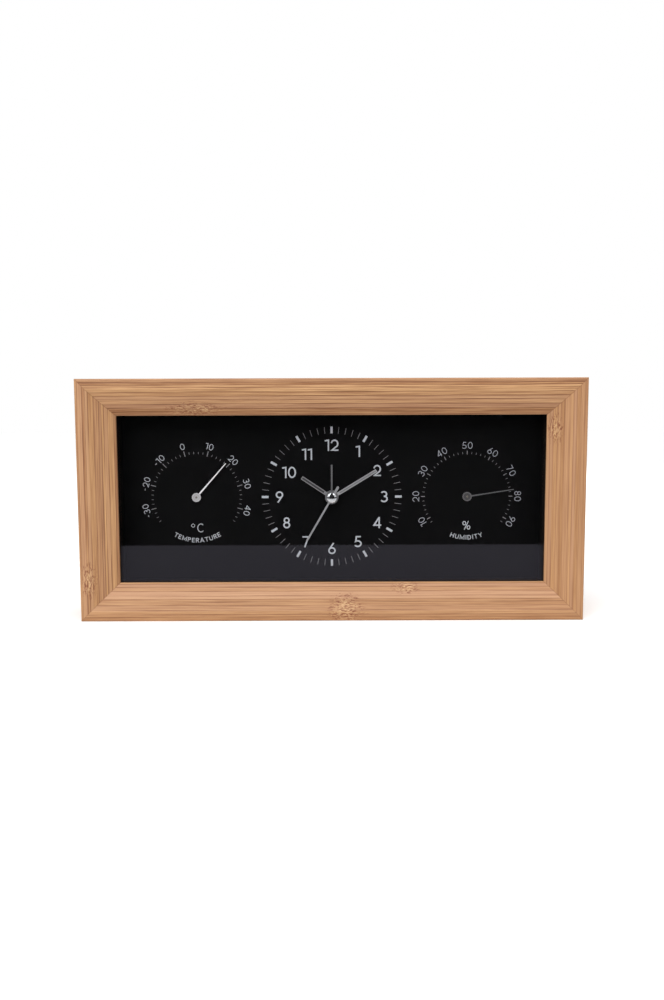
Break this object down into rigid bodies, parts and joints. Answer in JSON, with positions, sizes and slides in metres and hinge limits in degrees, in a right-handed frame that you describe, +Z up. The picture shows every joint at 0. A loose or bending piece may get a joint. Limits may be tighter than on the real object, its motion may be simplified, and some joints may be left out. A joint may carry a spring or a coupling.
{
  "type": "thermometer hygrometer clock",
  "caption": "Wide bamboo-framed table clock: a round clock dial with an alarm hand between a dial thermometer and a dial hygrometer behind glass.",
  "frame": {"origin": "middle of the base, under the middle of the wooden frame's box", "axes": "+X to the right seen from the front, +Y from the front to the back, +Z up"},
  "size_m": [0.24, 0.05, 0.115],
  "materials": {
    "bamboo": "side-pressed bamboo, satin clear lacquer",
    "hidden_wood": "raw wood and fibreboard, unfinished",
    "clear_glass": "clear float glass, polished",
    "spacer_black": "black moulded plastic, satin",
    "dial_black": "black printed sheet, matt",
    "panel_black": "fibreboard, sprayed matt black",
    "screw_steel": "zinc-plated steel",
    "movement_plastic": "black moulded plastic, fine grain",
    "cell_sleeve": "plain printed sleeve, gloss",
    "contact_metal": "nickel-plated spring strip",
    "circuit_green": "laminate with solder resist",
    "crystal_can": "drawn metal can",
    "buzzer_black": "black moulded plastic",
    "motor_iron": "stamped soft iron",
    "copper_winding": "enamelled copper wire",
    "rotor_magnet": "plastic-bonded ferrite",
    "wheel_plastic": "natural acetal, moulded",
    "knob_plastic": "black moulded plastic, satin",
    "hand_metal": "satin grey aluminium",
    "cap_chrome": "polished chrome",
    "cup_plastic": "black moulded plastic",
    "strip_metal": "rolled bimetal strip",
    "strip_film": "humidity film on metal strip",
    "arbor_brass": "turned brass",
    "pointer_silver": "bright silver aluminium",
    "pointer_grey": "dull grey aluminium"
  },
  "bodies": {
    "case": {"frame_top": "bamboo", "frame_bottom": "bamboo", "frame_left": "bamboo", "frame_right": "bamboo", "mitre_tongues": "hidden_wood", "glass_pane": "clear_glass", "spacer_frame": "spacer_black", "dial_sheet": "dial_black", "dial_board": "hidden_wood", "corner_blocks": "hidden_wood", "back_panel": "panel_black", "panel_screws": "screw_steel", "movement_front_case": "movement_plastic", "movement_rear_case": "movement_plastic", "movement_screws": "screw_steel", "battery_cell": "cell_sleeve", "battery_contact_plus": "contact_metal", "battery_contact_minus": "contact_metal", "circuit_board": "circuit_green", "quartz_crystal": "crystal_can", "buzzer": "buzzer_black", "motor_stator": "motor_iron", "motor_core": "motor_iron", "motor_coil": "copper_winding", "thermo_cup": "cup_plastic", "thermo_strip": "strip_metal", "hygro_cup": "cup_plastic", "hygro_strip": "strip_film", "sensor_screws": "screw_steel"},
    "seconds": {"seconds_wheel": "wheel_plastic", "second_hand": "hand_metal", "hand_cap": "cap_chrome"},
    "minutes": {"centre_wheel": "wheel_plastic", "minute_hand": "hand_metal"},
    "hours": {"hour_wheel": "wheel_plastic", "hour_hand": "hand_metal"},
    "third": {"third_wheel": "wheel_plastic"},
    "motion": {"motion_wheel": "wheel_plastic"},
    "intermediate": {"intermediate_wheel": "wheel_plastic"},
    "rotor": {"motor_rotor": "rotor_magnet"},
    "time_set": {"time_set_gear": "wheel_plastic", "time_set_knob": "knob_plastic"},
    "alarm": {"alarm_wheel": "wheel_plastic", "alarm_hand": "hand_metal"},
    "alarm_set": {"alarm_set_gear": "wheel_plastic", "alarm_set_knob": "knob_plastic"},
    "thermo": {"thermo_arbor": "arbor_brass", "thermo_pointer": "pointer_silver"},
    "hygro": {"hygro_arbor": "arbor_brass", "hygro_pointer": "pointer_grey"},
    "alarm_switch": {"alarm_switch_slider": "knob_plastic"}
  },
  "joints": [
    {"name": "second_hand_turn", "type": "hinge", "parent": "case", "child": "seconds", "pos_m": [0, -0.003, 0.0575], "axis": [0, 1, 0], "continuous": true},
    {"name": "minute_hand_turn", "type": "hinge", "parent": "case", "child": "minutes", "pos_m": [0, -0.003, 0.0575], "axis": [0, 1, 0], "continuous": true},
    {"name": "hour_hand_turn", "type": "hinge", "parent": "case", "child": "hours", "pos_m": [0, -0.003, 0.0575], "axis": [0, 1, 0], "continuous": true},
    {"name": "third_wheel_turn", "type": "hinge", "parent": "case", "child": "third", "pos_m": [0.01039, -0.003, 0.0635], "axis": [0, 1, 0], "continuous": true},
    {"name": "motion_wheel_turn", "type": "hinge", "parent": "case", "child": "motion", "pos_m": [-0.0094, -0.003, 0.05408], "axis": [0, 1, 0], "continuous": true},
    {"name": "intermediate_wheel_turn", "type": "hinge", "parent": "case", "child": "intermediate", "pos_m": [0.00668, -0.003, 0.05082], "axis": [0, 1, 0], "continuous": true},
    {"name": "rotor_turn", "type": "hinge", "parent": "case", "child": "rotor", "pos_m": [0.01345, -0.003, 0.04836], "axis": [0, 1, 0], "continuous": true},
    {"name": "time_knob_turn", "type": "hinge", "parent": "case", "child": "time_set", "pos_m": [-0.01926, -0.003, 0.05049], "axis": [0, 1, 0], "continuous": true},
    {"name": "alarm_knob_turn", "type": "hinge", "parent": "case", "child": "alarm_set", "pos_m": [-0.01034, -0.003, 0.06618], "axis": [0, 1, 0], "continuous": true},
    {"name": "alarm_hand_turn", "type": "hinge", "parent": "case", "child": "alarm", "pos_m": [0, -0.003, 0.0575], "axis": [0, 1, 0], "continuous": true},
    {"name": "thermo_pointer_turn", "type": "hinge", "parent": "case", "child": "thermo", "pos_m": [-0.06709, -0.003, 0.0575], "axis": [0, 1, 0], "range_deg": [-164.3, 81.7], "stiffness_Nm_per_rad": 0.0002},
    {"name": "hygro_pointer_turn", "type": "hinge", "parent": "case", "child": "hygro", "pos_m": [0.06709, -0.003, 0.0575], "axis": [0, 1, 0], "range_deg": [-207.4, 44.6], "stiffness_Nm_per_rad": 0.0002},
    {"name": "alarm_switch_slide", "type": "slide", "parent": "case", "child": "alarm_switch", "axis": [1, 0, 0], "range_m": [0, 0.004]}
  ],
  "couplings": [
    {"joint": "third_wheel_turn", "follows": "second_hand_turn", "ratio": -0.13333},
    {"joint": "minute_hand_turn", "follows": "second_hand_turn", "ratio": 0.016667},
    {"joint": "motion_wheel_turn", "follows": "second_hand_turn", "ratio": -0.0055556},
    {"joint": "hour_hand_turn", "follows": "second_hand_turn", "ratio": 0.0013889},
    {"joint": "time_knob_turn", "follows": "second_hand_turn", "ratio": 0.013889},
    {"joint": "intermediate_wheel_turn", "follows": "second_hand_turn", "ratio": -6},
    {"joint": "rotor_turn", "follows": "second_hand_turn", "ratio": 30},
    {"joint": "alarm_hand_turn", "follows": "alarm_knob_turn", "ratio": -0.66667}
  ]
}
